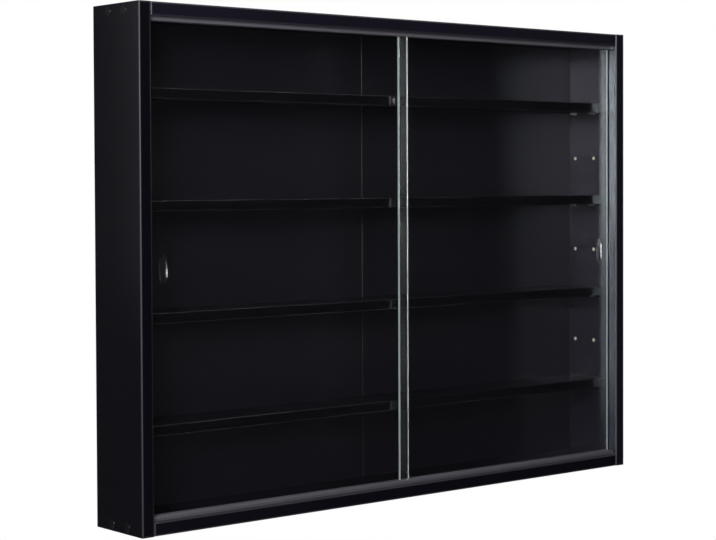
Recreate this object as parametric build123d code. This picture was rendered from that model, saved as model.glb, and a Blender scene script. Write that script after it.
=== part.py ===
from build123d import *
import os

# Frame: X across, Y towards the wall, Z up, in millimetres. The wall plane is y = 0.
# Heights are measured from the underside here, and export moves them to the hanging holes.

# Carcass
cabinet_width = 800.0
cabinet_height = 600.0
cabinet_depth = 95.0
panel_thickness = 16.0
front_arris_radius = 2.0

# Back: two sheets held in grooves and joined by a strip of H section
back_thickness = 3.0
back_inset = 2.0
back_engagement = 3.5
back_face_clearance = 0.1
back_edge_clearance = 0.2
strip_flange_width = 8.0
strip_wall = 0.8
strip_arris = 0.3
strip_end_clearance = 0.2

# Door tracks: double-groove profiles, the top one let into the top panel
track_setback = 6.25
track_rib = 1.5
track_middle_rib = 2.0
track_groove = 4.5
track_floor = 1.5
bottom_track_height = 5.2
top_track_drop = 4.6
top_track_recess = 3.5
track_bead_height = 2.6
track_bead_proud = 0.4
track_tip_radius = 0.35
track_recess_clearance = 0.1
track_end_clearance = 0.2
track_screw_count = 5
track_screw_end_distance = 45.0
track_screw_radius = 1.1
track_screw_head_radius = 1.9
track_screw_head_height = 1.1
track_screw_bite = 8.0

# Glass doors
glass_thickness = 4.0
glass_arris = 0.4
door_overlap = 10.0
door_side_clearance = 1.5
door_running_clearance = 0.3
door_top_engagement = 3.0
finger_pull_from_edge = 18.0
finger_pull_width = 12.0
finger_pull_height = 33.0
finger_pull_depth = 2.5

# Shelves and the plug-in supports that carry them
shelf_thickness = 12.0
shelf_end_clearance = 1.0
shelf_back_clearance = 0.3
shelf_behind_track = 4.0
shelf_band_thickness = 1.0
shelf_band_arris = 0.5
support_row_rear_inset = 9.5
support_row_front_inset = 20.0
support_level_pitch = 64.0
support_middle_rise = 1.0
support_levels_above_middle = (3, 2, 1, 0, -1, -2, -3)
shelf_levels = (3, 1, -1, -3)
support_peg_radius = 2.45
support_peg_length = 8.0
support_flange_radius = 3.3
support_flange_thickness = 1.2
support_tongue_radius = 2.6
support_tongue_length = 8.0
shelf_rest_above_hole = 0.0

# Connector screws through the sides into the ends of the top and bottom panels
connector_spacing = 32.0
connector_head_radius = 4.75
connector_head_height = 3.0
connector_head_sink = 0.3
connector_shank_radius = 3.45
connector_core_radius = 2.45
connector_bite = 35.0
connector_socket_flats = 4.0
connector_socket_depth = 2.2
cap_radius = 5.5
cap_thickness = 0.9
cap_dome_radius = 0.6
cap_stem_radius = 1.9
cap_stem_engagement = 1.8

# Dowels beside the connector screws
dowel_radius = 3.95
dowel_in_side = 8.0
dowel_in_end = 22.0
dowel_chamfer = 0.8

# Keyhole plates let into the rear edges of the sides
hanging_hole_from_top = 40.0
hanging_hole_from_side = 7.0
hanging_hole_radius = 3.5
hanging_slot_width = 3.6
hanging_slot_length = 8.0
hanging_plate_width = 10.0
hanging_plate_height = 50.0
hanging_plate_thickness = 1.2
hanging_plate_rise = 3.0
hanging_pocket_radius = 4.0
hanging_pocket_depth = 9.0
hanging_screw_spacing = 36.0
hanging_screw_radius = 1.45
hanging_screw_head_radius = 2.9
hanging_screw_bite = 14.0
hanging_recess_clearance = 0.1

# Fits
bore_clearance = 0.05
bore_end_clearance = 1.0
cut_over = 1.0

# Places that follow from the sizes above
half_width = cabinet_width / 2
interior_half = half_width - panel_thickness
ceiling = cabinet_height - panel_thickness
hanging_height = cabinet_height - hanging_hole_from_top

back_front_y = -(back_inset + back_thickness)
groove_front_y = back_front_y - back_face_clearance
groove_rear_y = -back_inset + back_face_clearance
groove_depth = back_engagement + back_edge_clearance
strip_front_y = groove_front_y - strip_wall

rib_front_y = -cabinet_depth + track_setback
front_groove_y = rib_front_y + track_rib + track_groove / 2
rear_groove_y = front_groove_y + track_groove + track_middle_rib
rib_rear_y = rear_groove_y + track_groove / 2 + track_rib

door_bottom = panel_thickness + track_floor + door_running_clearance
door_top = ceiling - top_track_drop + door_top_engagement
door_outer = interior_half - door_side_clearance
door_inner = -door_overlap / 2

shelf_rear_y = strip_front_y - shelf_back_clearance
shelf_front_y = rib_rear_y + shelf_behind_track
support_rows_y = (shelf_rear_y - support_row_rear_inset, shelf_front_y + support_row_front_inset)
shelf_half_length = interior_half - shelf_end_clearance

connector_rows_y = tuple(-cabinet_depth / 2 + side * connector_spacing / 2 for side in (-1, 1))
joint_heights = (panel_thickness / 2, cabinet_height - panel_thickness / 2)


def block(x0, x1, y0, y1, z0, z1):
    """Box between two opposite corners."""
    middle = Pos((x0 + x1) / 2, (y0 + y1) / 2, (z0 + z1) / 2)
    return middle * Box(abs(x1 - x0), abs(y1 - y0), abs(z1 - z0))


def rod_x(radius, x0, x1, y, z):
    """Cylinder along X."""
    return Pos((x0 + x1) / 2, y, z) * Rot(0, 90, 0) * Cylinder(radius, abs(x1 - x0))


def rod_y(radius, x, y0, y1, z):
    """Cylinder along Y."""
    return Pos(x, (y0 + y1) / 2, z) * Rot(90, 0, 0) * Cylinder(radius, abs(y1 - y0))


def level_height(level):
    """Height of one level of support holes, counted from the one nearest the middle of the cabinet."""
    return cabinet_height / 2 + support_middle_rise + level * support_level_pitch


def shelf_underside(level):
    """Height of the flat that a shelf rests on."""
    return level_height(level) + shelf_rest_above_hole


def to_the_right(left_part):
    """The same piece on the right of the cabinet."""
    return mirror(left_part, about=Plane.YZ)


def hanging_plate_outline(width, height, y0, y1):
    """Upright plate with round ends, around the left hanging hole."""
    x = -half_width + hanging_hole_from_side
    z = hanging_height + hanging_plate_rise
    radius = width / 2
    reach = height / 2 - radius
    body = block(x - radius, x + radius, y0, y1, z - reach, z + reach)
    return body + rod_y(radius, x, y0, y1, z - reach) + rod_y(radius, x, y0, y1, z + reach)


def keyhole(hole_radius, slot_half_width, y0, y1):
    """Round entry hole with a slot that runs up from it, at the left hanging hole."""
    x = -half_width + hanging_hole_from_side
    top = hanging_height + hanging_slot_length
    slot = block(x - slot_half_width, x + slot_half_width, y0, y1, hanging_height, top)
    entry = rod_y(hole_radius, x, y0, y1, hanging_height)
    return entry + slot + rod_y(slot_half_width, x, y0, y1, top)


def hanging_screw_places():
    """Centres (x, z) of the two screws of the left hanging plate."""
    x = -half_width + hanging_hole_from_side
    middle = hanging_height + hanging_plate_rise
    return [(x, middle + side * hanging_screw_spacing / 2) for side in (-1, 1)]


def joint_places():
    """Centres (y, z) of the connector screws of one side."""
    return [(y, z) for z in joint_heights for y in connector_rows_y]


def left_side_panel():
    """Side panel with its back groove, joint bores, support holes and hanging recess."""
    outer = -half_width
    inner = -interior_half
    panel = block(outer, inner, -cabinet_depth, 0, 0, cabinet_height)
    front_arrises = panel.edges().filter_by(Axis.Z).group_by(Axis.Y)[0]
    panel = fillet(front_arrises, front_arris_radius)
    panel -= block(inner - groove_depth, inner + cut_over, groove_front_y, groove_rear_y, -cut_over,
                   cabinet_height + cut_over)
    head_bottom = outer + connector_head_sink + connector_head_height
    for y, z in joint_places():
        panel -= rod_x(connector_head_radius + bore_clearance, outer - cut_over, head_bottom, y, z)
        panel -= rod_x(connector_shank_radius + bore_clearance, outer, inner + cut_over, y, z)
    for z in joint_heights:
        panel -= rod_x(dowel_radius + bore_clearance, inner - dowel_in_side - bore_end_clearance,
                       inner + cut_over, -cabinet_depth / 2, z)
    for level in support_levels_above_middle:
        for y in support_rows_y:
            panel -= rod_x(support_peg_radius + bore_clearance, inner - support_peg_length - bore_end_clearance,
                           inner + cut_over, y, level_height(level))
    panel -= hanging_plate_outline(hanging_plate_width + 2 * hanging_recess_clearance,
                                   hanging_plate_height + 2 * hanging_recess_clearance,
                                   -hanging_plate_thickness, cut_over)
    panel -= keyhole(hanging_pocket_radius, hanging_pocket_radius, -hanging_pocket_depth, cut_over)
    for x, z in hanging_screw_places():
        bottom = -hanging_plate_thickness - hanging_screw_bite - bore_end_clearance
        panel -= rod_y(hanging_screw_radius + bore_clearance, x, bottom, 0, z)
    return panel


def horizontal_panel(z0, joint_z, inner_face_z, inward, track_screw_seat_z):
    """Top or bottom panel: inward is +1 where the cabinet's inside is above it, -1 where it is below."""
    panel = block(-interior_half, interior_half, -cabinet_depth, 0, z0, z0 + panel_thickness)
    front_arrises = panel.edges().group_by(Axis.Y)[0]
    panel = fillet(front_arrises, front_arris_radius)
    groove_bottom = inner_face_z - inward * groove_depth
    groove_mouth = inner_face_z + inward * cut_over
    panel -= block(-interior_half - cut_over, interior_half + cut_over, groove_front_y, groove_rear_y,
                   groove_bottom, groove_mouth)
    for side in (-1, 1):
        end = side * interior_half
        mouth = end + side * cut_over
        for y in connector_rows_y:
            panel -= rod_x(connector_core_radius + bore_clearance,
                           end - side * (connector_bite + bore_end_clearance), mouth, y, joint_z)
        panel -= rod_x(dowel_radius + bore_clearance, end - side * (dowel_in_end + bore_end_clearance), mouth,
                       -cabinet_depth / 2, joint_z)
    pilot_depth = track_screw_bite + bore_end_clearance
    for x in track_screw_places():
        middle = track_screw_seat_z - inward * pilot_depth / 2
        pilot = Cylinder(track_screw_radius + bore_clearance, pilot_depth)
        panel -= Pos(x, rear_groove_y, middle) * pilot
    return panel


def top_panel():
    """Top panel, with the recess that the top track sits in."""
    recess_z = ceiling + top_track_recess
    panel = horizontal_panel(ceiling, joint_heights[1], ceiling, -1, recess_z)
    return panel - block(-interior_half - cut_over, interior_half + cut_over,
                         rib_front_y - track_recess_clearance, rib_rear_y + track_recess_clearance,
                         ceiling - cut_over, recess_z)


def bottom_panel():
    """Bottom panel, which carries the bottom track on its face."""
    return horizontal_panel(0, joint_heights[0], panel_thickness, 1, panel_thickness)


def back_sheet():
    """Left half of the back, from the side groove to the web of the joining strip."""
    return block(-interior_half - back_engagement, -strip_wall / 2 - back_edge_clearance, back_front_y, -back_inset,
                 panel_thickness - back_engagement, ceiling + back_engagement)


def back_joining_strip():
    """Strip of H section that holds the two halves of the back in line."""
    half_flange = strip_flange_width / 2
    z0 = panel_thickness
    z1 = ceiling - strip_end_clearance
    front_flange = block(-half_flange, half_flange, groove_front_y - strip_wall, groove_front_y, z0, z1)
    front_arrises = front_flange.edges().filter_by(Axis.Z).group_by(Axis.Y)[0]
    front_flange = fillet(front_arrises, strip_arris)
    rear_flange = block(-half_flange, half_flange, groove_rear_y, groove_rear_y + strip_wall, z0, z1)
    web = block(-strip_wall / 2, strip_wall / 2, groove_front_y, groove_rear_y, z0, z1)
    return front_flange + web + rear_flange


def track_screw_places():
    """Positions along X of the screws of one track."""
    reach = interior_half - track_screw_end_distance
    step = 2 * reach / (track_screw_count - 1)
    return [-reach + step * number for number in range(track_screw_count)]


def track_screw_head(extra):
    """Countersunk head standing on its point, its flat face at the origin."""
    head = Cone(track_screw_radius + extra, track_screw_head_radius + extra, track_screw_head_height)
    return Pos(0, 0, -track_screw_head_height / 2) * head


def door_track(height):
    """Double-groove profile standing on z = 0, with its screw holes in the rear groove."""
    half_length = interior_half - track_end_clearance
    floor = block(-half_length, half_length, rib_front_y, rib_rear_y, 0, track_floor)
    rib_starts = (
        (rib_front_y, track_rib),
        (front_groove_y + track_groove / 2, track_middle_rib),
        (rib_rear_y - track_rib, track_rib),
    )
    profile = floor
    for y, width in rib_starts:
        profile += block(-half_length, half_length, y, y + width, 0, height)
    profile += block(-half_length, half_length, rib_front_y - track_bead_proud, rib_front_y,
                     height - track_bead_height, height)
    tips = profile.edges().filter_by(Axis.X).group_by(Axis.Z)[-1]
    profile = fillet(tips, track_tip_radius)
    for x in track_screw_places():
        hole = Pos(0, 0, -track_floor / 2) * Cylinder(track_screw_radius + bore_clearance, track_floor)
        profile -= Pos(x, rear_groove_y, track_floor) * (hole + track_screw_head(bore_clearance))
    return profile


def track_screws():
    """Screws of a track that stands on z = 0."""
    length = track_floor + track_screw_bite
    shank = Pos(0, 0, -length / 2) * Cylinder(track_screw_radius, length)
    screw = shank + track_screw_head(0)
    return [Pos(x, rear_groove_y, track_floor) * screw for x in track_screw_places()]


def on_bottom_panel(shape):
    """Place a track piece on the bottom panel."""
    return Pos(0, 0, panel_thickness) * shape


def in_top_panel(shape):
    """Turn a track piece over and place it in the recess of the top panel."""
    return Pos(0, 0, ceiling + top_track_recess) * mirror(shape, about=Plane.XY)


def glass_door(x0, x1, y, pull_x):
    """Pane with seamed edges and an oval finger pull ground into its front face."""
    front = y - glass_thickness / 2
    pane = block(x0, x1, front, y + glass_thickness / 2, door_bottom, door_top)
    pane = chamfer(pane.edges(), glass_arris)
    wheel_radius = ((finger_pull_height / 2) ** 2 + finger_pull_depth ** 2) / (2 * finger_pull_depth)
    rim_radius = ((finger_pull_width / 2) ** 2 + finger_pull_depth ** 2) / (2 * finger_pull_depth)
    wheel = Rot(0, 90, 0) * Torus(wheel_radius - rim_radius, rim_radius)
    wheel_y = front + finger_pull_depth - wheel_radius
    return pane - Pos(pull_x, wheel_y, (door_bottom + door_top) / 2) * wheel


def left_glass_door():
    """Door in the front groove, closed at the left."""
    return glass_door(-door_outer, -door_inner, front_groove_y, -door_outer + finger_pull_from_edge)


def right_glass_door():
    """Door in the rear groove, closed at the right."""
    return glass_door(door_inner, door_outer, rear_groove_y, door_outer - finger_pull_from_edge)


def shelf(level):
    """Shelf board without its front edge band."""
    z = shelf_underside(level)
    return block(-shelf_half_length, shelf_half_length, shelf_front_y + shelf_band_thickness, shelf_rear_y,
                 z, z + shelf_thickness)


def shelf_edge_band(level):
    """Band along the front edge of a shelf."""
    z = shelf_underside(level)
    band = block(-shelf_half_length, shelf_half_length, shelf_front_y, shelf_front_y + shelf_band_thickness,
                 z, z + shelf_thickness)
    arrises = band.edges().filter_by(Axis.X).group_by(Axis.Y)[0]
    return fillet(arrises, shelf_band_arris)


def shelf_supports(level):
    """Four plug-in supports: a peg in the side, a flange against it and a flat-topped tongue."""
    z = level_height(level)
    wall = -interior_half
    supports = []
    for y in support_rows_y:
        head = rod_x(support_flange_radius, wall, wall + support_flange_thickness, y, z)
        head += rod_x(support_tongue_radius, wall, wall + support_tongue_length, y, z)
        head -= block(wall - cut_over, wall + support_tongue_length + cut_over, y - support_flange_radius,
                      y + support_flange_radius, z + shelf_rest_above_hole, z + 2 * support_flange_radius)
        support = head + rod_x(support_peg_radius, wall - support_peg_length, wall, y, z)
        supports += [support, to_the_right(support)]
    return supports


def left_connector_screws():
    """Connector screws of the left side, with hexagon sockets."""
    head_top = -half_width + connector_head_sink
    head_bottom = head_top + connector_head_height
    screws = []
    for y, z in joint_places():
        screw = rod_x(connector_head_radius, head_top, head_bottom, y, z)
        screw += rod_x(connector_shank_radius, head_bottom, -interior_half, y, z)
        screw += rod_x(connector_core_radius, -interior_half, -interior_half + connector_bite, y, z)
        socket_sketch = RegularPolygon(connector_socket_flats / 2, 6, major_radius=False)
        socket = extrude(socket_sketch, connector_socket_depth)
        screws.append(screw - Pos(head_top, y, z) * Rot(0, 90, 0) * socket)
    return screws


def left_cover_caps():
    """Caps over the connector screws of the left side, each with a stem in the screw's socket."""
    outer = -half_width
    stem_end = outer + connector_head_sink + cap_stem_engagement
    caps = []
    for y, z in joint_places():
        disc = rod_x(cap_radius, outer - cap_thickness, outer, y, z)
        disc = fillet(disc.edges().group_by(Axis.X)[0], cap_dome_radius)
        caps.append(disc + rod_x(cap_stem_radius, outer, stem_end, y, z))
    return caps


def alignment_dowels():
    """One dowel in each corner joint."""
    dowels = []
    for z in joint_heights:
        dowel = rod_x(dowel_radius, -interior_half - dowel_in_side, -interior_half + dowel_in_end,
                      -cabinet_depth / 2, z)
        dowel = chamfer(dowel.edges().filter_by(GeomType.CIRCLE), dowel_chamfer)
        dowels += [dowel, to_the_right(dowel)]
    return dowels


def left_hanging_plate():
    """Keyhole plate, flush with the rear edge of the left side."""
    plate = hanging_plate_outline(hanging_plate_width, hanging_plate_height, -hanging_plate_thickness, 0)
    plate -= keyhole(hanging_hole_radius, hanging_slot_width / 2, -hanging_plate_thickness - cut_over, cut_over)
    for x, z in hanging_screw_places():
        plate -= hanging_screw_head(x, z, bore_clearance)
    return plate


def hanging_screw_head(x, z, extra):
    """Countersunk head as deep as the plate is thick, flat face at the wall plane."""
    head = Cone(hanging_screw_radius + extra, hanging_screw_head_radius + extra, hanging_plate_thickness)
    return Pos(x, -hanging_plate_thickness / 2, z) * Rot(-90, 0, 0) * head


def hanging_plate_screws():
    """Screws of both hanging plates."""
    screws = []
    for x, z in hanging_screw_places():
        bottom = -hanging_plate_thickness - hanging_screw_bite
        screw = hanging_screw_head(x, z, 0) + rod_y(hanging_screw_radius, x, bottom, -hanging_plate_thickness, z)
        screws += [screw, to_the_right(screw)]
    return screws


def all_nodes():
    """Every node's name with its solids."""
    bottom_profile = door_track(bottom_track_height)
    top_profile = door_track(top_track_drop + top_track_recess)
    connectors = left_connector_screws()
    caps = left_cover_caps()
    nodes = {
        "left_side_panel": [left_side_panel()],
        "right_side_panel": [to_the_right(left_side_panel())],
        "top_panel": [top_panel()],
        "bottom_panel": [bottom_panel()],
        "left_back_panel": [back_sheet()],
        "right_back_panel": [to_the_right(back_sheet())],
        "back_joining_strip": [back_joining_strip()],
        "bottom_door_track": [on_bottom_panel(bottom_profile)],
        "top_door_track": [in_top_panel(top_profile)],
        "bottom_track_screws": [on_bottom_panel(screw) for screw in track_screws()],
        "top_track_screws": [in_top_panel(screw) for screw in track_screws()],
        "left_glass_door": [left_glass_door()],
        "right_glass_door": [right_glass_door()],
        "left_connector_screws": connectors,
        "right_connector_screws": [to_the_right(screw) for screw in connectors],
        "left_cover_caps": caps,
        "right_cover_caps": [to_the_right(cap) for cap in caps],
        "alignment_dowels": alignment_dowels(),
        "left_hanging_plate": [left_hanging_plate()],
        "right_hanging_plate": [to_the_right(left_hanging_plate())],
        "hanging_plate_screws": hanging_plate_screws(),
    }
    for number, level in enumerate(shelf_levels, start=1):
        nodes[f"shelf_{number}"] = [shelf(level)]
        nodes[f"shelf_{number}_edge_band"] = [shelf_edge_band(level)]
        nodes[f"shelf_{number}_supports"] = shelf_supports(level)
    return nodes


def main():
    os.makedirs("parts", exist_ok=True)
    to_hanging_holes = Pos(0, 0, -hanging_height)
    for name, shapes in all_nodes().items():
        solids = [solid for shape in shapes for solid in (to_hanging_holes * shape).solids()]
        node = solids[0] if len(solids) == 1 else Compound(solids)
        export_step(node, f"parts/{name}.step")


if __name__ == "__main__":
    main()
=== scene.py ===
"""Looks of the wall display cabinet: finishes, screws with driven recesses, studio and camera."""
import math

import bmesh
import bpy
from bpy.props import FloatProperty, FloatVectorProperty, PointerProperty
from mathutils import Matrix, Vector


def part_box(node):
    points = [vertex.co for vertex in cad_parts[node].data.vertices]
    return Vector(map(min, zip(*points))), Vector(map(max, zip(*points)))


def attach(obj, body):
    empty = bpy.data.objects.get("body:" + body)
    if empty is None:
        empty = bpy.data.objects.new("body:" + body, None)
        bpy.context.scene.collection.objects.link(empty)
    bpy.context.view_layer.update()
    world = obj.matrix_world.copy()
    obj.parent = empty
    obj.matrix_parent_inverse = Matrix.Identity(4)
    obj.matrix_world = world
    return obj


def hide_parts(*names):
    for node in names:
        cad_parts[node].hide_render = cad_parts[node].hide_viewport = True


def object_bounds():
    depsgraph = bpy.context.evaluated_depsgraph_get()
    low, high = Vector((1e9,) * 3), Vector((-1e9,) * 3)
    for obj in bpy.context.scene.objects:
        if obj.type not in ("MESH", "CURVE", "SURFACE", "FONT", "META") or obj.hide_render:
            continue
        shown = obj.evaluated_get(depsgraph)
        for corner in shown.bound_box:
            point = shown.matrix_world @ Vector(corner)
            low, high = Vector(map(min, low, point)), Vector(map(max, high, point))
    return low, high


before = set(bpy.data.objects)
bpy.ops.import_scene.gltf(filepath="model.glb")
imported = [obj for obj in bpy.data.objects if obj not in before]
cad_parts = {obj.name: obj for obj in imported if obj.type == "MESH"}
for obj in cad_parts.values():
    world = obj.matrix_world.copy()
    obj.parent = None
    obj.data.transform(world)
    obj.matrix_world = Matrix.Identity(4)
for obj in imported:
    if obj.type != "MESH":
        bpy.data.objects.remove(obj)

bl_info = {
    "name": "Wall display cabinet",
    "version": (1, 0, 0),
    "blender": (4, 5, 0),
    "location": "View3D > Sidebar > Cabinet",
    "description": "Finishes and studio for a wall display cabinet with sliding glass doors",
    "category": "Object",
}

CAD_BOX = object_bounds()
SHELVES = (1, 2, 3, 4)
MM = 0.001
WHITE = (1.0, 1.0, 1.0, 1.0)
BLACK = (0.0, 0.0, 0.0, 1.0)


def plain(box):
    """A box as lists of numbers."""
    return [[float(value) for value in corner] for corner in box]


def scaled(colour, factor):
    """A colour made lighter or darker."""
    return tuple(factor * part for part in colour)


class Value:
    """A shader socket in a Python expression, which adds the Math nodes that it needs."""

    def __init__(self, finish, socket):
        self.finish = finish
        self.socket = socket

    def out(self, name):
        """Another output of the same node."""
        return Value(self.finish, self.socket.node.outputs[name])

    def join(self, operation, first, second=0.0):
        return self.finish.node("ShaderNodeMath", {"operation": operation}, {0: first, 1: second})

    def __add__(self, other):
        return self.join("ADD", self, other)

    def __radd__(self, other):
        return self.join("ADD", other, self)

    def __sub__(self, other):
        return self.join("SUBTRACT", self, other)

    def __rsub__(self, other):
        return self.join("SUBTRACT", other, self)

    def __mul__(self, other):
        return self.join("MULTIPLY", self, other)

    def __rmul__(self, other):
        return self.join("MULTIPLY", other, self)

    def __gt__(self, other):
        return self.join("GREATER_THAN", self, other)

    def __lt__(self, other):
        return self.join("LESS_THAN", self, other)

    def __abs__(self):
        return self.join("ABSOLUTE", self)

    def __or__(self, other):
        return self.join("MAXIMUM", self, other)

    def __and__(self, other):
        return self.join("MINIMUM", self, other)


class Finish:
    """A node material, or the world, written one node at a time."""

    def __init__(self, owner):
        owner.use_nodes = True
        self.owner = owner
        self.tree = owner.node_tree
        self.tree.nodes.clear()

    def node(self, kind, settings=None, sockets=None, output=0):
        """Add one node: its settings first, then the values or links of its sockets."""
        node = self.tree.nodes.new(kind)
        for name, value in (settings or {}).items():
            if name == "stops":
                self.set_stops(node.color_ramp, value)
            else:
                setattr(node, name, value)
        for name, value in (sockets or {}).items():
            if isinstance(value, Value):
                self.tree.links.new(value.socket, node.inputs[name])
            else:
                node.inputs[name].default_value = value
        return Value(self, node.outputs[output]) if node.outputs else None

    def set_stops(self, ramp, stops):
        """Give a colour ramp its stops."""
        while len(ramp.elements) > len(stops):
            ramp.elements.remove(ramp.elements[-1])
        while len(ramp.elements) < len(stops):
            ramp.elements.new(1.0)
        for element, (position, colour) in zip(ramp.elements, stops):
            element.position = position
            element.color = (*colour, 1.0)

    def place(self):
        """Object coordinates, in metres."""
        return self.node("ShaderNodeTexCoord", output="Object")

    def axes(self, place):
        """The three coordinates of a place."""
        x = self.node("ShaderNodeSeparateXYZ", sockets={0: place})
        return x, x.out("Y"), x.out("Z")

    def stretched(self, place, scale):
        """A place with its axes scaled, for grain."""
        return self.node("ShaderNodeMapping", sockets={"Vector": place, "Scale": scale})

    def noise(self, place, scale, detail=2.0, roughness=0.5, distortion=0.0):
        """Noise of about one patch per 1/scale metres."""
        return self.node("ShaderNodeTexNoise", sockets={
            "Vector": place, "Scale": scale, "Detail": detail,
            "Roughness": roughness, "Distortion": distortion})

    def cells(self, place, scale, output="Color"):
        """Irregular cells, one in about 1/scale metres."""
        return self.node("ShaderNodeTexVoronoi", sockets={"Vector": place, "Scale": scale}, output=output)

    def ramp(self, factor, stops):
        """A colour that follows a value through stops."""
        return self.node("ShaderNodeValToRGB", {"stops": stops}, {0: factor})

    def mix(self, first, second, factor, blend="MIX"):
        """Two colours mixed."""
        sockets = {0: factor}
        for number, colour in ((6, first), (7, second)):
            sockets[number] = colour if isinstance(colour, Value) else (*colour, 1.0)
        return self.node("ShaderNodeMix", {"data_type": "RGBA", "blend_type": blend}, sockets, output=2)

    def bump(self, height, depth, strength=1.0, under=None):
        """A normal from a height in 0 to 1 over a depth in metres."""
        sockets = {"Height": height, "Distance": depth, "Strength": strength}
        if under is not None:
            sockets["Normal"] = under
        return self.node("ShaderNodeBump", sockets=sockets)

    def surface(self, **sockets):
        """The main shader, its sockets named as in Blender with _ for a space."""
        named = {name.replace("_", " "): value for name, value in sockets.items()}
        for name, value in named.items():
            if isinstance(value, tuple) and len(value) == 3:
                named[name] = (*value, 1.0)
        return self.node("ShaderNodeBsdfPrincipled", sockets=named)

    def blend(self, first, second, factor):
        """One shader over another."""
        return self.node("ShaderNodeMixShader", sockets={0: factor, 1: first, 2: second})

    def done(self, shader):
        """Link the shader to the output."""
        self.node("ShaderNodeOutputMaterial", sockets={"Surface": shader})
        return self.owner


def new_finish(name):
    return Finish(bpy.data.materials.new(name))


def dress(material, *nodes):
    """Give CAD nodes a material in every slot."""
    for name in nodes:
        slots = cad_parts[name].material_slots
        for slot in slots:
            slot.material = material


def inside(finish, place, box, skin, front_skin):
    """1 where a point lies under the wrapped faces of a board, as in a bore or a groove."""
    x, y, z = finish.axes(place)
    (x0, y0, z0), (x1, y1, z1) = box
    across = abs(x - (x0 + x1) / 2) < (x1 - x0) / 2 - skin
    up = abs(z - (z0 + z1) / 2) < (z1 - z0) / 2 - skin
    deep = (y > y0 + front_skin) & (y < y1 - skin)
    return across & up & deep


def chipboard(finish, place, colour):
    """Colour, roughness and height of sawn or drilled chipboard."""
    flakes = finish.cells(place, 900.0)
    fine = finish.noise(place, 2600.0, detail=3.0)
    shade = finish.ramp(fine, [
        (0.25, scaled(colour, 0.62)),
        (0.55, tuple(colour)),
        (0.8, tuple(min(1.0, 1.18 * part) for part in colour)),
    ])
    tone = finish.mix(shade, flakes, 0.12, blend="OVERLAY")
    return tone, 0.85 + 0.1 * fine, fine


def film_board(name, box, looks, tone, gloss=0.0):
    """Chipboard in satin black film: duller at its front arrises, bare where it is bored or grooved."""
    finish = new_finish(name)
    place = finish.place()
    cloud = finish.noise(place, 7.0, detail=3.0, roughness=0.55)
    rub = finish.noise(finish.stretched(place, (1.0, 1.0, 0.16)), 45.0, detail=4.0, roughness=0.6)
    pebble = finish.noise(place, 1.0 / looks.pebble_size, detail=2.0, roughness=0.6)
    dust = finish.noise(place, 420.0, detail=2.0) > 0.73
    # tone is painted light and shade: the same film made lighter or darker on each board
    dark = scaled(looks.colour, 0.86 * tone)
    light = scaled(looks.colour, 1.16 * tone)
    film = finish.mix(dark, light, cloud)
    film = finish.mix(film, looks.dust_colour, dust * looks.dust_amount)
    x, y, z = finish.axes(place)
    (x0, y0, z0), (x1, y1, z1) = box
    arris_width = 2.0 * MM
    near_end = abs(x - (x0 + x1) / 2) > (x1 - x0) / 2 - arris_width
    near_rim = abs(z - (z0 + z1) / 2) > (z1 - z0) / 2 - arris_width
    arris = (y < y0 + arris_width) & (near_end | near_rim)
    # The strip in front of the doors gets a glossier, cool-tinted coat: a painted reflection of the light
    # thrown back between glass and panel
    painted_reflection_strip = (y > y0 + arris_width) & (y < y0 + looks.painted_reflection_depth)
    raw = inside(finish, place, box, skin=0.3 * MM, front_skin=2.4 * MM)
    bare, bare_roughness, bare_height = chipboard(finish, place, looks.raw_colour)
    satin = looks.roughness - 0.04 - 0.16 * gloss
    film_roughness = satin + 0.05 * cloud + 0.02 * rub + looks.arris_wear * arris
    roughness = film_roughness * (1 - raw) + bare_roughness * raw
    height = pebble * (1 - raw) + bare_height * raw
    shader = finish.surface(
        Base_Color=finish.mix(film, bare, raw),
        Roughness=roughness,
        Specular_IOR_Level=looks.specular + gloss,
        Specular_Tint=tuple(looks.sheen_tint),
        Coat_Weight=2.0 * gloss * painted_reflection_strip,
        Coat_Roughness=0.16,
        Coat_IOR=1.75,
        Coat_Tint=tuple(looks.painted_reflection_tint),
        Normal=finish.bump(height, looks.pebble_depth, strength=1.0 - 1.6 * gloss),
    )
    return finish.done(shader)


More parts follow.
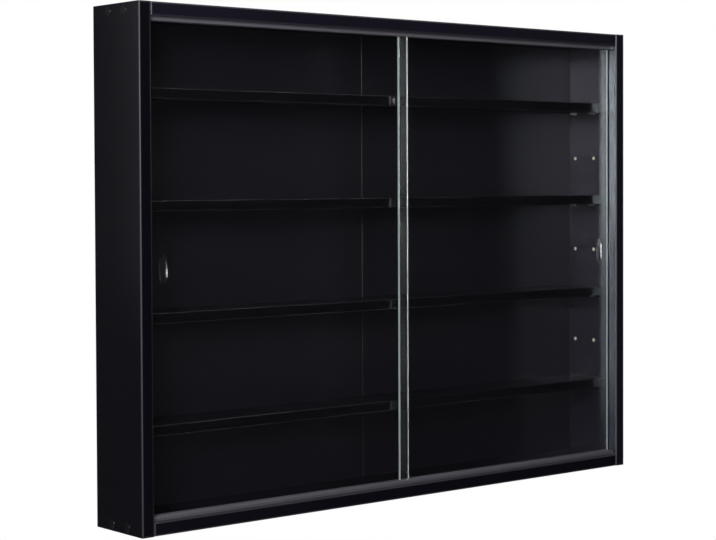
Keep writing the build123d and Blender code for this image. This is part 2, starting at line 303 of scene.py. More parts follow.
class FilmLooks(bpy.types.PropertyGroup):
    colour: FloatVectorProperty(
        name="Film colour", description="Colour of the black film on the boards",
        subtype="COLOR", size=3, min=0.0, max=1.0, default=(0.0017, 0.0015, 0.0029))
    roughness: FloatProperty(
        name="Film roughness", description="How matt the film is",
        subtype="FACTOR", min=0.0, max=1.0, default=0.24)
    arris_wear: FloatProperty(
        name="Arris wear", description="How much duller the film is where it wraps an arris",
        subtype="FACTOR", min=0.0, max=1.0, default=0.26)
    # Depth and tint of the coated strip in front of the doors, a painted reflection
    painted_reflection_depth: FloatProperty(
        name="Painted reflection depth",
        description="Depth of the glossier strip in front of the doors, fitted to the photograph",
        subtype="DISTANCE", unit="LENGTH", min=0.0, max=0.1, default=0.014)
    painted_reflection_tint: FloatVectorProperty(
        name="Painted reflection tint",
        description="Cool tint of the glossier strip in front of the doors, fitted to the photograph",
        subtype="COLOR", size=3, min=0.0, max=1.0, default=(0.72, 1.0, 1.0))
    specular: FloatProperty(
        name="Film gloss level",
        description="Strength of the film's plain reflection",
        subtype="FACTOR", min=0.0, max=1.0, default=0.54)
    sheen_tint: FloatVectorProperty(
        name="Sheen tint",
        description="Faint violet of the light that black film mirrors",
        subtype="COLOR", size=3, min=0.0, max=1.0, default=(0.92, 0.89, 1.0))
    pebble_size: FloatProperty(
        name="Pebble size", description="Size of the fine pebbling of the film",
        subtype="DISTANCE", unit="LENGTH", min=0.0001, max=0.01, default=0.0006)
    pebble_depth: FloatProperty(
        name="Pebble depth", description="Depth of the fine pebbling of the film",
        subtype="DISTANCE", unit="LENGTH", min=0.0, max=0.001, default=0.00001)
    dust_colour: FloatVectorProperty(
        name="Dust colour", description="Colour of the few specks of dust",
        subtype="COLOR", size=3, min=0.0, max=1.0, default=(0.05, 0.05, 0.052))
    dust_amount: FloatProperty(
        name="Dust amount", description="How clearly the specks of dust show",
        subtype="FACTOR", min=0.0, max=1.0, default=0.25)
    raw_colour: FloatVectorProperty(
        name="Chipboard colour", description="Colour of the bare chipboard in bores and grooves",
        subtype="COLOR", size=3, min=0.0, max=1.0, default=(0.78, 0.72, 0.60))


class BackLooks(bpy.types.PropertyGroup):
    face_colour: FloatVectorProperty(
        name="Face colour", description="Colour of the back's black face",
        subtype="COLOR", size=3, min=0.0, max=1.0, default=(0.0034, 0.0030, 0.0054))
    sheen_tint: FloatVectorProperty(
        name="Sheen tint",
        description="Faint violet of the light that the black face mirrors",
        subtype="COLOR", size=3, min=0.0, max=1.0, default=(0.92, 0.89, 1.0))
    rear_colour: FloatVectorProperty(
        name="Rear colour", description="Colour of the fibreboard seen from behind",
        subtype="COLOR", size=3, min=0.0, max=1.0, default=(0.19, 0.105, 0.052))
    strip_colour: FloatVectorProperty(
        name="Strip colour", description="Colour of the joining strip",
        subtype="COLOR", size=3, min=0.0, max=1.0, default=(0.0042, 0.0039, 0.0056))


class TrackLooks(bpy.types.PropertyGroup):
    colour: FloatVectorProperty(
        name="Track colour", description="Colour of the extruded door tracks",
        subtype="COLOR", size=3, min=0.0, max=1.0, default=(0.060, 0.057, 0.068))
    roughness: FloatProperty(
        name="Track roughness", description="How matt the tracks are",
        subtype="FACTOR", min=0.0, max=1.0, default=0.38)
    rim_height: FloatProperty(
        name="Rim height", description="Height of the bead along each track's free edge",
        subtype="DISTANCE", unit="LENGTH", min=0.0, max=0.01, default=0.0026)
    # Lightens the bead's colour: a painted highlight along each track's free edge
    rim_painted_highlight: FloatProperty(
        name="Rim painted highlight", description="How much lighter the bead is, fitted to the photograph",
        subtype="FACTOR", min=0.0, max=1.0, default=0.35)


class GlassLooks(bpy.types.PropertyGroup):
    colour: FloatVectorProperty(
        name="Glass colour", description="Tint of the panes",
        subtype="COLOR", size=3, min=0.0, max=1.0, default=(0.972, 0.98, 0.984))
    edge_colour: FloatVectorProperty(
        name="Edge colour", description="Colour of the seamed edges",
        subtype="COLOR", size=3, min=0.0, max=1.0, default=(0.43, 0.47, 0.475))
    edge_roughness: FloatProperty(
        name="Edge roughness", description="How matt the wheel leaves the edges",
        subtype="FACTOR", min=0.0, max=1.0, default=0.32)
    # The pale seamed-edge shader is mixed in more on the right door than on the left: the edges' own
    # paleness plus painted light
    left_glass_door_bloom: FloatProperty(
        name="Left door's edge bloom",
        description="Light that the left door's ground edges scatter, fitted to the photograph",
        subtype="FACTOR", min=0.0, max=1.0, default=0.3)
    right_glass_door_bloom: FloatProperty(
        name="Right door's edge bloom",
        description="Light that the right door's ground edges scatter, fitted to the photograph",
        subtype="FACTOR", min=0.0, max=1.0, default=0.8)
    pull_from_edge: FloatProperty(
        name="Finger pull from edge",
        description="From a door's outer edge to the middle of its finger pull",
        subtype="DISTANCE", unit="LENGTH", min=0.0, max=0.2, default=0.018)
    pull_roughness: FloatProperty(
        name="Finger pull roughness",
        description="How matt the wheel leaves the finger pulls",
        subtype="FACTOR", min=0.0, max=1.0, default=0.18)
    edge_depth: FloatProperty(
        name="Edge depth", description="How far the seamed look reaches in from the edge",
        subtype="DISTANCE", unit="LENGTH", min=0.0, max=0.01, default=0.00012)


class FittingLooks(bpy.types.PropertyGroup):
    nickel_colour: FloatVectorProperty(
        name="Nickel colour", description="Colour of the shelf supports",
        subtype="COLOR", size=3, min=0.0, max=1.0, default=(0.40, 0.39, 0.38))
    zinc_colour: FloatVectorProperty(
        name="Zinc colour", description="Colour of the screws and hanging plates",
        subtype="COLOR", size=3, min=0.0, max=1.0, default=(0.56, 0.57, 0.59))
    cap_colour: FloatVectorProperty(
        name="Cap colour", description="Colour of the cover caps",
        subtype="COLOR", size=3, min=0.0, max=1.0, default=(0.0045, 0.0043, 0.006))
    beech_colour: FloatVectorProperty(
        name="Beech colour", description="Colour of the dowels",
        subtype="COLOR", size=3, min=0.0, max=1.0, default=(0.55, 0.38, 0.22))
    recess_width: FloatProperty(
        name="Recess width", description="Width of each arm of the cross recess in a screw",
        subtype="DISTANCE", unit="LENGTH", min=0.0001, max=0.003, default=0.0007)
    recess_depth: FloatProperty(
        name="Recess depth", description="Depth of the cross recess in a screw",
        subtype="DISTANCE", unit="LENGTH", min=0.0001, max=0.003, default=0.0009)


class StageLooks(bpy.types.PropertyGroup):
    key_power: FloatProperty(
        name="Softbox power",
        description="Power that the softboxes around the cabinet take their shares of",
        subtype="POWER", unit="POWER", min=0.0, max=1000.0, default=64.0)
    front_power: FloatProperty(
        name="Front right power", description="Power of the light above the front right",
        subtype="POWER", unit="POWER", min=0.0, max=1000.0, default=5.0)
    top_power: FloatProperty(
        name="Overhead power", description="Power of the wide light overhead",
        subtype="POWER", unit="POWER", min=0.0, max=1000.0, default=14.0)
    rim_power: FloatProperty(
        name="Rear light power", description="Power of the small light at the rear left",
        subtype="POWER", unit="POWER", min=0.0, max=1000.0, default=0.48)
    ambient: FloatProperty(
        name="Room light", description="Strength of the even light of the room",
        min=0.0, max=2.0, default=0.12)
    floor_colour: FloatVectorProperty(
        name="Floor colour", description="Colour of the pale floor",
        subtype="COLOR", size=3, min=0.0, max=1.0, default=(0.82, 0.82, 0.81))
    floor_drop: FloatProperty(
        name="Floor below the cabinet",
        description="How far the floor lies below the cabinet",
        subtype="DISTANCE", unit="LENGTH", min=0.0, max=5.0, default=1.0)


class CabinetLooks(bpy.types.PropertyGroup):
    film: PointerProperty(type=FilmLooks)
    back: PointerProperty(type=BackLooks)
    tracks: PointerProperty(type=TrackLooks)
    glass: PointerProperty(type=GlassLooks)
    fittings: PointerProperty(type=FittingLooks)
    stage: PointerProperty(type=StageLooks)


def metal(name, colour, roughness, grain_scale, grain_stretch):
    """Plated steel with fine drawn lines, dull patches and a few pits."""
    finish = new_finish(name)
    place = finish.place()
    lines = finish.noise(finish.stretched(place, grain_stretch), grain_scale, detail=3.0, roughness=0.65)
    patch = finish.noise(place, 160.0, detail=3.0)
    pits = finish.noise(place, 2200.0, detail=1.0) > 0.7
    dark = scaled(colour, 0.72)
    tone = finish.mix(dark, tuple(colour), patch)
    tone = finish.mix(tone, scaled(colour, 0.45), pits * 0.4)
    shader = finish.surface(
        Base_Color=tone,
        Metallic=1.0,
        Roughness=roughness + 0.14 * patch + 0.08 * lines,
        Normal=finish.bump(lines, 0.00001),
    )
    return finish.done(shader)


class CABINET_OT_carcass(bpy.types.Operator):
    """Black film on the four boards of the carcass"""

    bl_idname = "cabinet.carcass"
    bl_label = "Carcass boards"

    # Fitted to the photograph's tones, why the boards differ isn't known: the one black film is painted
    # lighter or darker on each board by this factor, painted light and shade
    tone = {"top_panel": 3.3, "right_side_panel": 3.6, "bottom_panel": 1.7, "left_side_panel": 1.1}
    # gloss also sets the coat of the right panel's painted reflection strip
    gloss = {"right_side_panel": 0.45}

    def execute(self, context):
        looks = context.scene.display_cabinet.film
        for node in ("left_side_panel", "right_side_panel", "top_panel", "bottom_panel"):
            material = film_board(f"black_film_{node}", plain(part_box(node)), looks, self.tone[node],
                                  self.gloss.get(node, 0.0))
            dress(material, node)
        return {"FINISHED"}


class CABINET_OT_back(bpy.types.Operator):
    """Thin back sheets and the strip that joins them"""

    bl_idname = "cabinet.back"
    bl_label = "Back and joining strip"

    def execute(self, context):
        looks = context.scene.display_cabinet.back
        dress(self.sheet(looks), "left_back_panel", "right_back_panel")
        dress(self.strip(looks), "back_joining_strip")
        return {"FINISHED"}

    def sheet(self, looks):
        """Fibreboard with a black face in front and its brown screen side behind."""
        finish = new_finish("black_faced_fibreboard")
        place = finish.place()
        x, y, z = finish.axes(place)
        rear_skin = 0.4 * MM
        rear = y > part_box("left_back_panel")[1][1] - rear_skin
        cloud = finish.noise(place, 5.0, detail=3.0)
        pebble = finish.noise(place, 1500.0, detail=2.0)
        fibre = finish.noise(place, 700.0, detail=4.0, roughness=0.7)
        face = finish.mix(scaled(looks.face_colour, 0.88),
                          scaled(looks.face_colour, 1.12), cloud)
        brown = finish.ramp(fibre, [
            (0.3, scaled(looks.rear_colour, 0.6)),
            (0.55, tuple(looks.rear_colour)),
            (0.8, scaled(looks.rear_colour, 1.35)),
        ])
        weave_x = self.mesh_wave(finish, place, "X")
        weave_z = self.mesh_wave(finish, place, "Z")
        screen = weave_x * weave_z
        height = (1 - rear) * pebble * 0.08 + rear * (0.6 * screen + 0.4 * fibre)
        shader = finish.surface(
            Base_Color=finish.mix(face, brown, rear),
            Roughness=(1 - rear) * (0.33 + 0.06 * cloud) + rear * (0.8 + 0.1 * fibre),
            Specular_IOR_Level=0.54,
            Specular_Tint=tuple(looks.sheen_tint),
            Normal=finish.bump(height, 0.12 * MM),
        )
        return finish.done(shader)

    def mesh_wave(self, finish, place, axis):
        """The lines that the press screen leaves in fibreboard."""
        return finish.node(
            "ShaderNodeTexWave", {"bands_direction": axis, "wave_type": "BANDS"},
            {"Vector": place, "Scale": 210.0, "Distortion": 0.6, "Detail": 1.0, "Detail Scale": 1.5})

    def strip(self, looks):
        """Extruded plastic with faint draw lines along its length."""
        finish = new_finish("joining_strip_plastic")
        place = finish.place()
        lines = finish.noise(finish.stretched(place, (1.0, 1.0, 0.01)), 1600.0, detail=2.0)
        cloud = finish.noise(place, 30.0, detail=2.0)
        shader = finish.surface(
            Base_Color=finish.mix(scaled(looks.strip_colour, 0.85),
                                  scaled(looks.strip_colour, 1.2), cloud),
            Roughness=0.26 + 0.08 * lines + 0.05 * cloud,
            Specular_IOR_Level=0.5,
            Normal=finish.bump(lines, 0.00001),
        )
        return finish.done(shader)


class CABINET_OT_tracks(bpy.types.Operator):
    """The two grooved door tracks"""

    bl_idname = "cabinet.tracks"
    bl_label = "Door tracks"

    def execute(self, context):
        looks = context.scene.display_cabinet.tracks
        finish = new_finish("track_plastic_extruded")
        place = finish.place()
        lines = finish.noise(finish.stretched(place, (0.006, 1.0, 1.0)), 2400.0, detail=3.0)
        cloud = finish.noise(finish.stretched(place, (0.3, 1.0, 1.0)), 40.0, detail=3.0)
        scuff = finish.noise(finish.stretched(place, (0.08, 1.0, 1.0)), 900.0, detail=2.0) > 0.66
        colour = finish.mix(scaled(looks.colour, 0.85),
                            scaled(looks.colour, 1.15), cloud)
        colour = finish.mix(colour, scaled(looks.colour, 1.8), scuff * 0.3)
        x, y, z = finish.axes(place)
        tip_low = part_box("top_door_track")[0][2]
        tip_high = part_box("bottom_door_track")[1][2]
        rim = (z < tip_low + looks.rim_height) & (z > tip_low - MM)
        rim = rim | ((z > tip_high - looks.rim_height) & (z < tip_high + MM))
        # The bead's colour painted up to twice as light: a painted highlight
        highlighted = finish.mix(colour, (2.0, 2.0, 2.0), 1.0, blend="MULTIPLY")
        colour = finish.mix(colour, highlighted, rim * looks.rim_painted_highlight)
        shader = finish.surface(
            Base_Color=colour,
            Roughness=looks.roughness - 0.05 + 0.08 * lines + 0.05 * cloud - 0.06 * rim,
            Specular_IOR_Level=0.62,
            Normal=finish.bump(lines, 0.00001),
        )
        dress(finish.done(shader), "top_door_track", "bottom_door_track")
        return {"FINISHED"}


class CABINET_OT_doors(bpy.types.Operator):
    """Clear panes with seamed green edges"""

    bl_idname = "cabinet.doors"
    bl_label = "Glass doors"

    pull_half_width = 6.5 * MM
    pull_half_height = 17.0 * MM
    pull_depth = 2.7 * MM

    def execute(self, context):
        looks = context.scene.display_cabinet.glass
        for node in ("left_glass_door", "right_glass_door"):
            dress(self.pane(node, looks, getattr(looks, f"{node}_bloom")), node)
        return {"FINISHED"}

    def pane(self, node, looks, bloom):
        """Float glass that lets the lamps through, ground along its edges."""
        finish = new_finish(f"float_glass_{node}")
        place = finish.place()
        x, y, z = finish.axes(place)
        (x0, y0, z0), (x1, y1, z1) = plain(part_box(node))
        side = abs(x - (x0 + x1) / 2) > (x1 - x0) / 2 - looks.edge_depth
        end = abs(z - (z0 + z1) / 2) > (z1 - z0) / 2 - looks.edge_depth
        ground = side | end
        smear = finish.noise(finish.stretched(place, (1.0, 1.0, 0.4)), 9.0, detail=4.0, roughness=0.6)
        pull_x = x0 + looks.pull_from_edge if node == "left_glass_door" else x1 - looks.pull_from_edge
        sunk = (y > y0 + 0.05 * MM) & (y < y0 + self.pull_depth)
        beside = abs(x - pull_x) < self.pull_half_width
        scooped = sunk & beside & (abs(z - (z0 + z1) / 2) < self.pull_half_height)
        grit = finish.noise(place, 3000.0, detail=2.0)
        clear = finish.surface(
            Base_Color=tuple(looks.colour),
            Roughness=0.012 * smear + looks.pull_roughness * scooped + looks.edge_roughness * ground,
            IOR=1.5,
            Transmission_Weight=1.0,
        )
        edge_tone = finish.mix(scaled(looks.edge_colour, 0.75), tuple(looks.edge_colour), grit)
        edge = finish.surface(
            Base_Color=edge_tone,
            Roughness=0.32 + 0.12 * grit,
            IOR=1.5,
            Specular_IOR_Level=0.5,
            Normal=finish.bump(grit, 0.00002),
        )
        # bloom mixes in the pale seamed edge; its larger value on the right door is painted light
        glass = finish.blend(clear, edge, bloom * ground)
        path = finish.node("ShaderNodeLightPath", output="Is Shadow Ray")
        lit = finish.node("ShaderNodeBsdfTransparent", sockets={"Color": (0.92, 0.94, 0.93, 1.0)})
        return finish.done(finish.blend(glass, lit, path | path.out("Is Diffuse Ray")))


class CABINET_OT_shelves(bpy.types.Operator):
    """Shelf boards and their glossy front edge bands"""

    bl_idname = "cabinet.shelves"
    bl_label = "Shelves and edge bands"

    def execute(self, context):
        looks = context.scene.display_cabinet.film
        for number in SHELVES:
            node = f"shelf_{number}"
            dress(self.board(f"black_film_{node}", looks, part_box(node)[1][0]), node)
        dress(self.band(looks), *[f"shelf_{number}_edge_band" for number in SHELVES])
        return {"FINISHED"}

    def board(self, name, looks, half_length):
        """Film on the faces, bare chipboard at the two sawn ends."""
        finish = new_finish(name)
        place = finish.place()
        x, y, z = finish.axes(place)
        cloud = finish.noise(place, 8.0, detail=3.0)
        pebble = finish.noise(place, 1.0 / looks.pebble_size, detail=2.0)
        rub = finish.noise(finish.stretched(place, (0.2, 1.0, 1.0)), 60.0, detail=4.0)
        dust = finish.noise(place, 430.0, detail=2.0) > 0.74
        film = finish.mix(scaled(looks.colour, 0.85),
                          scaled(looks.colour, 1.15), cloud)
        film = finish.mix(film, looks.dust_colour, dust * looks.dust_amount)
        sawn_skin = 0.2 * MM
        sawn = abs(x) > half_length - sawn_skin
        bare, bare_roughness, bare_height = chipboard(finish, place, looks.raw_colour)
        satin = looks.roughness - 0.06 + 0.05 * cloud + 0.06 * rub
        shader = finish.surface(
            Base_Color=finish.mix(film, bare, sawn),
            Roughness=(1 - sawn) * satin + sawn * bare_roughness,
            Specular_IOR_Level=looks.specular,
            Specular_Tint=tuple(looks.sheen_tint),
            Normal=finish.bump((1 - sawn) * pebble + sawn * bare_height, looks.pebble_depth),
        )
        return finish.done(shader)

    def band(self, looks):
        """Thin glossy edging with a slight ripple from the roller that pressed it on."""
        finish = new_finish("glossy_edge_band")
        place = finish.place()
        ripple = finish.noise(finish.stretched(place, (0.25, 1.0, 1.0)), 120.0, detail=2.0)
        cloud = finish.noise(place, 20.0, detail=2.0)
        shader = finish.surface(
            Base_Color=finish.mix(scaled(looks.colour, 0.8),
                                  scaled(looks.colour, 1.1), cloud),
            Roughness=0.15 + 0.05 * ripple,
            Specular_IOR_Level=0.95,
            Normal=finish.bump(ripple, 0.00003),
        )
        return finish.done(shader)


class CABINET_OT_supports(bpy.types.Operator):
    """Nickel-plated shelf supports"""

    bl_idname = "cabinet.supports"
    bl_label = "Shelf supports"

    def execute(self, context):
        looks = context.scene.display_cabinet.fittings
        material = metal("nickel_plated_support", looks.nickel_colour, 0.34, 1800.0, (0.1, 1.0, 1.0))
        dress(material, *[f"shelf_{number}_supports" for number in SHELVES])
        return {"FINISHED"}


class CABINET_OT_connectors(bpy.types.Operator):
    """Connector screws, their black caps and the dowels beside them"""

    bl_idname = "cabinet.connectors"
    bl_label = "Connectors, caps and dowels"

    def execute(self, context):
        looks = context.scene.display_cabinet.fittings
        steel = metal("zinc_plated_connector", looks.zinc_colour, 0.3, 1500.0, (0.1, 1.0, 1.0))
        dress(steel, "left_connector_screws", "right_connector_screws")
        dress(self.cap(looks), "left_cover_caps", "right_cover_caps")
        dress(self.dowel(looks), "alignment_dowels")
        return {"FINISHED"}

    def cap(self, looks):
        """Moulded plastic with a slightly uneven gloss."""
        finish = new_finish("moulded_cover_cap")
        place = finish.place()
        flow = finish.noise(place, 220.0, detail=3.0, distortion=1.2)
        fine = finish.noise(place, 1400.0, detail=2.0)
        shader = finish.surface(
            Base_Color=finish.mix(scaled(looks.cap_colour, 0.8),
                                  scaled(looks.cap_colour, 1.25), flow),
            Roughness=0.25 + 0.06 * flow,
            Specular_IOR_Level=0.42,
            Normal=finish.bump(fine, 0.00001),
        )
        return finish.done(shader)

    def dowel(self, looks):
        """Beech with its grain and pressed flutes along the dowel."""
        finish = new_finish("fluted_beech_dowel")
        place = finish.place()
        along = finish.stretched(place, (0.08, 1.0, 1.0))
        grain = finish.noise(along, 2200.0, detail=4.0, roughness=0.6, distortion=0.4)
        fleck = finish.noise(finish.stretched(place, (0.25, 1.0, 1.0)), 3500.0, detail=1.0) > 0.68
        tone = finish.ramp(grain, [
            (0.3, scaled(looks.beech_colour, 0.78)),
            (0.7, scaled(looks.beech_colour, 1.1)),
        ])
        tone = finish.mix(tone, scaled(looks.beech_colour, 0.5), fleck * 0.5)
        shader = finish.surface(
            Base_Color=tone,
            Roughness=0.6 + 0.15 * grain,
            Normal=finish.bump(grain, 0.00004),
        )
        return finish.done(shader)


def countersunk_screw(mesh, looks, place, turn, head_radius, shank_radius, head_height, length, spin):
    """One countersunk screw with a cross recess, its head flat at place and its point away along -Z."""
    head = bmesh.new()
    made = bmesh.ops.create_circle(head, cap_ends=True, radius=head_radius, segments=24)
    cuts = []
    arm = looks.recess_width / 2
    reach = 0.62 * head_radius
    tip_radius = 0.2 * MM
    for axis in (Vector((1, 0, 0)), Vector((0, 1, 0))):
        for distance in (-reach, -arm, arm, reach):
            geometry = head.verts[:] + head.edges[:] + head.faces[:]
            bmesh.ops.bisect_plane(head, geom=geometry, plane_co=axis * distance, plane_no=axis, dist=1e-7)
    cross = []
    for face in head.faces:
        centre = face.calc_center_median()
        near = sorted((abs(centre.x), abs(centre.y)))
        if near[0] < arm and near[1] < reach:
            cross.append(face)
    sunk = bmesh.ops.extrude_face_region(head, geom=cross)
    bottom = [item for item in sunk["geom"] if isinstance(item, bmesh.types.BMVert)]
    bmesh.ops.delete(head, geom=cross, context="FACES_ONLY")
    depth = min(looks.recess_depth, 0.8 * head_height)
    bmesh.ops.translate(head, verts=bottom, vec=(0, 0, -depth))
    bmesh.ops.scale(head, verts=bottom, vec=(0.55, 0.55, 1.0), space=Matrix.Identity(4))
    rim = [edge for edge in head.edges if len(edge.link_faces) == 1]
    profile = (
        (shank_radius, head_height),
        (shank_radius, length - 2 * shank_radius),
        (tip_radius, length),
    )
    for radius, drop in profile:
        grown = bmesh.ops.extrude_edge_only(head, edges=rim)
        verts = [item for item in grown["geom"] if isinstance(item, bmesh.types.BMVert)]
        rim = [item for item in grown["geom"] if isinstance(item, bmesh.types.BMEdge)
               and all(vert in verts for vert in item.verts)]
        for vert in verts:
            flat = Vector((vert.co.x, vert.co.y)).normalized() * radius
            vert.co = Vector((flat.x, flat.y, -drop))
    bmesh.ops.contextual_create(head, geom=rim)
    bmesh.ops.recalc_face_normals(head, faces=head.faces[:])
    bmesh.ops.transform(head, matrix=Matrix.Translation(place) @ turn @ Matrix.Rotation(spin, 4, "Z"),
                        verts=head.verts[:])
    copy = bpy.data.meshes.new("screw")
    head.to_mesh(copy)
    head.free()
    mesh.from_mesh(copy)
    bpy.data.meshes.remove(copy)


def finished_piece(name, mesh, material, slot, body, *replaced):
    """Turn a bmesh into an object that rides on a body and stands for CAD nodes."""
    data = bpy.data.meshes.new(name)
    mesh.to_mesh(data)
    mesh.free()
    data.materials.append(material)
    piece = bpy.data.objects.new(name, data)
    bpy.context.scene.collection.objects.link(piece)
    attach(piece, body)
    if replaced:
        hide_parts(*replaced)
    return piece


class CABINET_OT_screws(bpy.types.Operator):
    """Small countersunk screws of the tracks and hanging plates"""

    bl_idname = "cabinet.screws"
    bl_label = "Countersunk screws"

    screws_per_track = 5
    track_shank_radius = 1.1 * MM
    track_head_height = 1.1 * MM
    plate_head_radius = 2.9 * MM
    plate_shank_radius = 1.45 * MM
    plate_head_height = 1.2 * MM

    def execute(self, context):
        looks = context.scene.display_cabinet.fittings
        steel = metal("zinc_plated_screw", looks.zinc_colour, 0.28, 2500.0, (1.0, 1.0, 1.0))
        self.track_screws("bottom_track_screws", looks, steel, up=True)
        self.track_screws("top_track_screws", looks, steel, up=False)
        self.plate_screws(looks, steel)
        return {"FINISHED"}

    def track_screws(self, node, looks, steel, up):
        """The screws along the rear groove of one track."""
        (x0, y0, z0), (x1, y1, z1) = plain(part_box(node))
        head_radius = (y1 - y0) / 2
        length = z1 - z0
        turn = Matrix.Identity(4) if up else Matrix.Rotation(math.pi, 4, "X")
        mesh = bmesh.new()
        for number in range(self.screws_per_track):
            x = x0 + head_radius + (x1 - x0 - 2 * head_radius) * number / (self.screws_per_track - 1)
            place = Vector((x, (y0 + y1) / 2, z1 if up else z0))
            spin = 0.4 + 1.1 * number
            countersunk_screw(mesh, looks, place, turn, head_radius, self.track_shank_radius,
                              self.track_head_height, length, spin)
        finished_piece(f"{node}_driven", mesh, steel, "screw_steel", "cabinet", node)

    def plate_screws(self, looks, steel):
        """Two screws in each hanging plate."""
        node = "hanging_plate_screws"
        (x0, y0, z0), (x1, y1, z1) = plain(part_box(node))
        head_radius = self.plate_head_radius
        turn = Matrix.Rotation(-math.pi / 2, 4, "X")
        mesh = bmesh.new()
        for column, x in enumerate((x0 + head_radius, x1 - head_radius)):
            for row, z in enumerate((z0 + head_radius, z1 - head_radius)):
                spin = 0.3 + 0.9 * column + 1.7 * row
                place = Vector((x, y1, z))
                countersunk_screw(mesh, looks, place, turn, head_radius, self.plate_shank_radius,
                                  self.plate_head_height, y1 - y0, spin)
        finished_piece(f"{node}_driven", mesh, steel, "screw_steel", "cabinet", node)


class CABINET_OT_hanging(bpy.types.Operator):
    """Keyhole plates at the back"""

    bl_idname = "cabinet.hanging"
    bl_label = "Hanging plates"

    def execute(self, context):
        looks = context.scene.display_cabinet.fittings
        steel = metal("zinc_plated_sheet", looks.zinc_colour, 0.34, 900.0, (1.0, 1.0, 0.06))
        dress(steel, "left_hanging_plate", "right_hanging_plate")
        return {"FINISHED"}


class CABINET_OT_stage(bpy.types.Operator):
    """Floor, white background, soft light and the camera"""

    bl_idname = "cabinet.stage"
    bl_label = "Studio and camera"

    # Camera of the photograph, in the part's frame
    eye = Vector((-1.50772, -1.79240, -0.16050))
    yaw = 0.697824
    pitch = -0.027621
    roll = -0.004022
    focal_pixels = 1811.06
    image_width = 716
    image_height = 540
    optical_row = 230.2

    # Name, degrees to the left of the front, height above the camera, width, height, share of the power;
    # all but the last were fitted to the photograph
    softboxes = (
        ("softbox_by_camera", 40.5, 0.10, 0.4, 0.5, 0.102),
        ("softbox_low", 40.5, -0.38, 0.4, 0.5, 0.038),
        ("softbox_beside", 48.0, 0.10, 0.3, 0.5, 0.088),
        ("softbox_left", 54.0, 0.10, 0.4, 0.5, 0.072),
        ("softbox_far_left", 62.0, 0.20, 0.4, 0.6, 0.100),
        ("softbox_upper_left", 52.0, 0.50, 0.5, 0.4, 0.600),
        ("softbox_right", -86.0, 0.40, 0.6, 0.9, 0.080),
    )
    softbox_distance = 2.32

    def execute(self, context):
        looks = context.scene.display_cabinet.stage
        view = context.scene.view_settings
        view.view_transform = "Standard"
        self.camera(context)
        self.world(context, looks)
        self.floor(looks)
        self.lamps(looks)
        return {"FINISHED"}

    def camera(self, context):
        """Camera at the photograph's viewpoint."""
        forward = Vector((
            math.sin(self.yaw) * math.cos(self.pitch),
            math.cos(self.yaw) * math.cos(self.pitch),
            math.sin(self.pitch),
        ))
        level = Vector((math.cos(self.yaw), -math.sin(self.yaw), 0.0))
        above = level.cross(forward)
        right = math.cos(self.roll) * level + math.sin(self.roll) * above
        up = math.cos(self.roll) * above - math.sin(self.roll) * level
        data = bpy.data.cameras.new("studio_camera")
        data.sensor_width = 36.0
        data.sensor_fit = "HORIZONTAL"
        data.lens = 36.0 * self.focal_pixels / self.image_width
        data.shift_y = (self.optical_row - self.image_height / 2) / self.image_width
        data.clip_start = 0.05
        data.clip_end = 60.0
        camera = bpy.data.objects.new("studio_camera", data)
        turn = Matrix((right, up, -forward)).transposed().to_4x4()
        camera.matrix_world = Matrix.Translation(self.eye) @ turn
        context.scene.collection.objects.link(camera)
        context.scene.camera = camera

    def world(self, context, looks):
        """White to the camera, an even room to everything else, dim in front for reflections."""
        world = bpy.data.worlds.new("studio")
        context.scene.world = world
        finish = Finish(world)
        camera = finish.node("ShaderNodeLightPath", output="Is Camera Ray")
        through = camera.out("Is Transmission Ray")
        mirror = camera.out("Is Glossy Ray")
        heading = finish.node("ShaderNodeTexCoord", output="Generated")
        x, y, z = finish.axes(heading)
        behind = finish.node("ShaderNodeMapRange", {"interpolation_type": "SMOOTHSTEP"}, {
            "Value": y, "From Min": -0.2, "From Max": 0.9})
        dim = 0.006 + 0.038 * behind
        clear = 0.006 + 0.994 * behind
        reflected = through * clear + (1 - through) * dim
        bounced = (mirror | through) * reflected + (1 - (mirror | through)) * looks.ambient
        strength = camera + (1 - camera) * bounced
        light = finish.node("ShaderNodeBackground", sockets={"Color": WHITE, "Strength": strength})
        finish.node("ShaderNodeOutputWorld", sockets={"Surface": light})

    def floor(self, looks):
        """Pale floor below the cabinet, white to the camera but for its shadow."""
        height = CAD_BOX[0][2] - looks.floor_drop
        mesh = bmesh.new()
        bmesh.ops.create_circle(mesh, cap_ends=True, radius=2.9, segments=96)
        bmesh.ops.translate(mesh, verts=mesh.verts[:], vec=(0, 0, height))
        finish = new_finish("pale_floor")
        place = finish.place()
        grain = finish.noise(place, 300.0, detail=2.0)
        pale = finish.surface(
            Base_Color=finish.mix(scaled(looks.floor_colour, 0.97),
                                  tuple(looks.floor_colour), grain),
            Roughness=0.9,
            Specular_IOR_Level=0.1,
        )
        path = finish.node("ShaderNodeLightPath", output="Is Camera Ray")
        seen = path | path.out("Is Transmission Ray")
        lift = finish.node("ShaderNodeEmission", sockets={"Color": WHITE, "Strength": 0.62})
        dark = finish.node("ShaderNodeEmission", sockets={"Color": BLACK, "Strength": 0.0})
        lifted = finish.node("ShaderNodeAddShader", sockets={0: pale, 1: finish.blend(dark, lift, seen)})
        away = finish.node("ShaderNodeVectorMath", {"operation": "LENGTH"},
                           {0: finish.stretched(place, (1.0, 1.0, 0.0))}, output="Value")
        fade = finish.node("ShaderNodeMapRange", {"interpolation_type": "SMOOTHSTEP"}, {
            "Value": away, "From Min": 1.2, "From Max": 2.8})
        gone = finish.node("ShaderNodeBsdfTransparent")
        lifted = finish.blend(lifted, gone, fade)
        data = bpy.data.meshes.new("floor")
        mesh.to_mesh(data)
        mesh.free()
        data.materials.append(finish.done(lifted))
        floor = bpy.data.objects.new("floor", data)
        bpy.context.scene.collection.objects.link(floor)

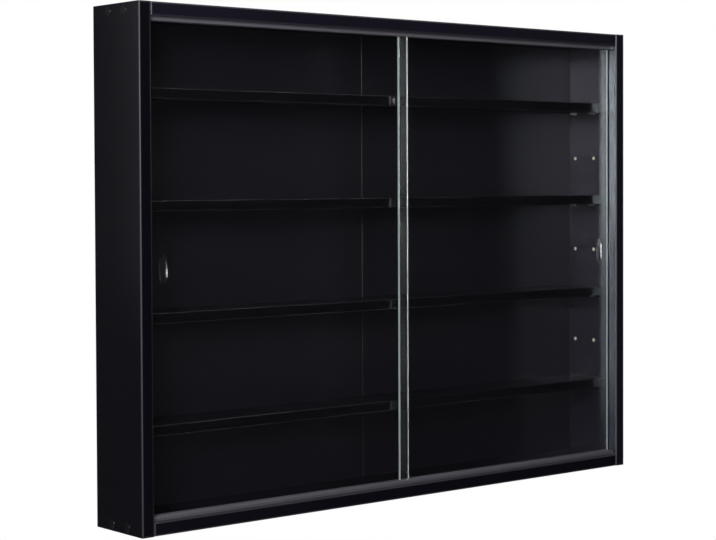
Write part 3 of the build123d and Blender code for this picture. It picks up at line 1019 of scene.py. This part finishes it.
    def lamps(self, looks):
        """Softboxes around the cabinet, most of them at the front left, and three single lamps."""
        middle = Vector((0.0, -0.05, -0.26))
        for name, azimuth, rise, width, height, share in self.softboxes:
            turn = math.radians(azimuth)
            away = Vector((-math.sin(turn), -math.cos(turn), 0.0)) * self.softbox_distance
            place = Vector((middle.x, middle.y, self.eye.z + rise)) + away
            self.softbox(name, place, middle, width, height, share * looks.key_power)
        self.softbox("front_right", Vector((0.9, -1.4, 1.1)), middle, 1.0, 0.8, looks.front_power)
        self.softbox("wide_overhead", Vector((1.15, -0.5, 1.7)), middle, 2.2, 1.6, looks.top_power)
        self.softbox("rear_left", Vector((-0.78, 0.24, 0.05)), Vector((-0.4, -0.05, -0.1)), 0.2, 0.8,
                     looks.rim_power)

    def softbox(self, name, place, target, width, height, power):
        """A flat lamp turned towards a target."""
        data = bpy.data.lights.new(name, "AREA")
        data.shape = "RECTANGLE"
        data.size = width
        data.size_y = height
        data.energy = power
        lamp = bpy.data.objects.new(name, data)
        lamp.location = place
        lamp.rotation_euler = (target - place).to_track_quat("-Z", "Y").to_euler()
        lamp.visible_camera = False
        bpy.context.scene.collection.objects.link(lamp)


class CABINET_PT_panel(bpy.types.Panel):
    """The cabinet's pieces, in the order in which they are made"""

    bl_label = "Wall display cabinet"
    bl_idname = "CABINET_PT_panel"
    bl_space_type = "VIEW_3D"
    bl_region_type = "UI"
    bl_category = "Cabinet"

    def draw(self, context):
        for step in STEPS:
            self.layout.operator(step.bl_idname)


LOOKS = (FilmLooks, BackLooks, TrackLooks, GlassLooks, FittingLooks, StageLooks, CabinetLooks)
STEPS = (
    CABINET_OT_stage,
    CABINET_OT_carcass,
    CABINET_OT_back,
    CABINET_OT_tracks,
    CABINET_OT_doors,
    CABINET_OT_shelves,
    CABINET_OT_supports,
    CABINET_OT_connectors,
    CABINET_OT_screws,
    CABINET_OT_hanging,
)


def register():
    for item in (*LOOKS, *STEPS, CABINET_PT_panel):
        bpy.utils.register_class(item)
    bpy.types.Scene.display_cabinet = PointerProperty(type=CabinetLooks)


def unregister():
    del bpy.types.Scene.display_cabinet
    for item in reversed((*LOOKS, *STEPS, CABINET_PT_panel)):
        bpy.utils.unregister_class(item)


def main():
    register()
    for name in ("Cube", "Light", "Camera"):
        if name in bpy.data.objects:
            bpy.data.objects.remove(bpy.data.objects[name])
    for step in STEPS:
        family, piece = step.bl_idname.split(".")
        getattr(getattr(bpy.ops, family), piece)()


if __name__ == "__main__":
    main()
